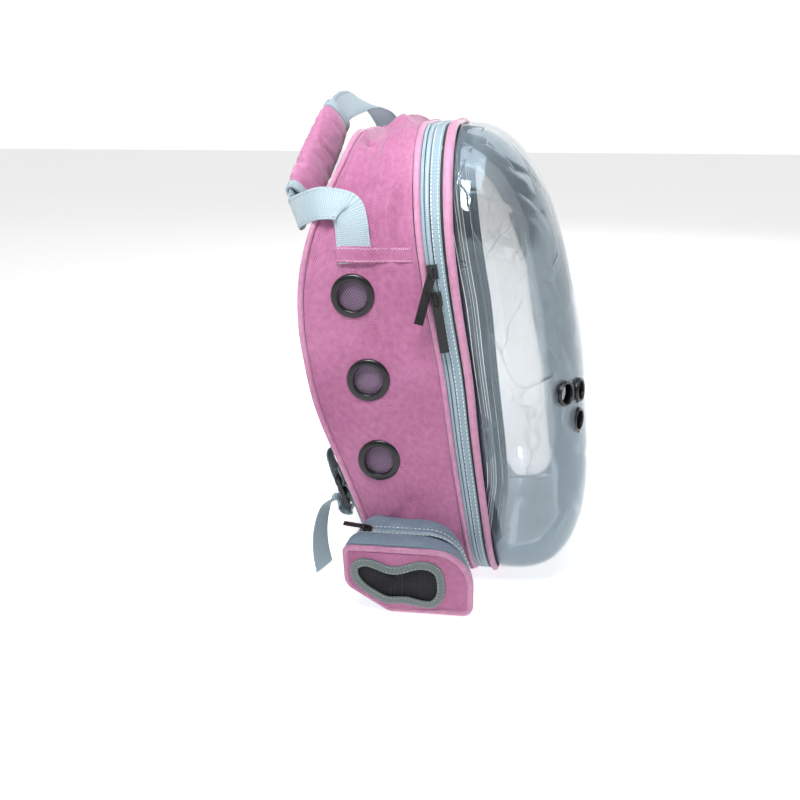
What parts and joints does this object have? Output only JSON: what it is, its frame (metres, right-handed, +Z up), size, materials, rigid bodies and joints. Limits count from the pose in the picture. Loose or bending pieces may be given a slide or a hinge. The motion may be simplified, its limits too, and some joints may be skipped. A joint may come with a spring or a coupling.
{
  "type": "bubble pet carrier backpack",
  "caption": "Soft backpack for carrying a small pet, with a clear domed front that zips round its rim, side vents, mesh-windowed side pockets and a carry handle.",
  "frame": {"origin": "middle of the flat fabric base, on the ground", "axes": "+Z up; -Y towards the clear dome, +Y towards the wearer's back; -X is the wearer's left"},
  "size_m": [0.3968, 0.278, 0.4289],
  "materials": {
    "pink_fabric": "woven, matte",
    "black_plastic": "glossy",
    "lining_mesh": "fine mesh",
    "grey_tape": "woven, matte",
    "pink_piping": "woven, satin",
    "black_mesh": "open mesh",
    "grey_webbing": "ribbed weave",
    "black_binding": "matte",
    "clear_plastic": "clear, glossy"
  },
  "bodies": {
    "carrier": {"fabric_body": "pink_fabric", "grommet_left_1": "black_plastic", "grommet_left_2": "black_plastic", "grommet_left_3": "black_plastic", "vent_screen_left": "lining_mesh", "pocket_band_left": "grey_tape", "pocket_rim_left": "grey_tape", "pocket_coil_left": "grey_tape", "pocket_piping_left": "pink_piping", "pocket_face_left": "pink_fabric", "pocket_window_rim_left": "grey_tape", "pocket_mesh_left": "black_mesh", "pocket_slider_left": "black_plastic", "handle_patch_left": "pink_fabric", "strap_pad_left": "pink_fabric", "ladder_lock_left": "black_plastic", "strap_bridge_left": "grey_webbing", "strap_webbing_left": "grey_webbing", "grommet_right_1": "black_plastic", "grommet_right_2": "black_plastic", "grommet_right_3": "black_plastic", "vent_screen_right": "lining_mesh", "pocket_band_right": "grey_tape", "pocket_rim_right": "grey_tape", "pocket_coil_right": "grey_tape", "pocket_piping_right": "pink_piping", "pocket_face_right": "pink_fabric", "pocket_window_rim_right": "grey_tape", "pocket_mesh_right": "black_mesh", "pocket_slider_right": "black_plastic", "handle_patch_right": "pink_fabric", "strap_pad_right": "pink_fabric", "ladder_lock_right": "black_plastic", "strap_bridge_right": "grey_webbing", "strap_webbing_right": "grey_webbing", "dome_piping": "pink_piping", "dome_binding": "black_binding", "zip_tape_front": "grey_tape", "zip_coil": "grey_tape", "zip_tape_rear": "grey_tape", "front_seam_piping": "pink_piping", "dome": "clear_plastic", "vent_eyelet_left": "black_plastic", "vent_eyelet_right": "black_plastic", "vent_eyelet_low": "black_plastic", "back_piping": "pink_piping", "back_panel": "black_mesh", "handle_webbing": "grey_webbing", "grip_trim_near": "grey_webbing", "grip_pad": "pink_fabric", "grip_trim_far": "grey_webbing", "zip_slider_upper": "black_plastic", "zip_slider_lower": "black_plastic"},
    "upper_pull": {"zip_pull_upper": "black_plastic"},
    "lower_pull": {"zip_pull_lower": "black_plastic"},
    "left_pocket_pull": {"pocket_pull_left": "black_plastic"},
    "right_pocket_pull": {"pocket_pull_right": "black_plastic"}
  },
  "joints": [
    {"name": "upper_pull_hinge", "type": "hinge", "parent": "carrier", "child": "upper_pull", "pos_m": [-0.1553, 0.00736, 0.2872], "axis": [0, 0.9749, 0.2227], "range_deg": [0, 140]},
    {"name": "lower_pull_hinge", "type": "hinge", "parent": "carrier", "child": "lower_pull", "pos_m": [-0.1553, 0.00366, 0.2648], "axis": [0, 0.9839, -0.1785], "range_deg": [0, 95]},
    {"name": "left_pocket_pull_hinge", "type": "hinge", "parent": "carrier", "child": "left_pocket_pull", "pos_m": [-0.17473, 0.0592, 0.06879], "axis": [0.9803, 0, 0.1973], "range_deg": [0, 150]},
    {"name": "right_pocket_pull_hinge", "type": "hinge", "parent": "carrier", "child": "right_pocket_pull", "pos_m": [0.17473, 0.0592, 0.06879], "axis": [0.9803, 0, -0.1973], "range_deg": [0, 150]}
  ]
}
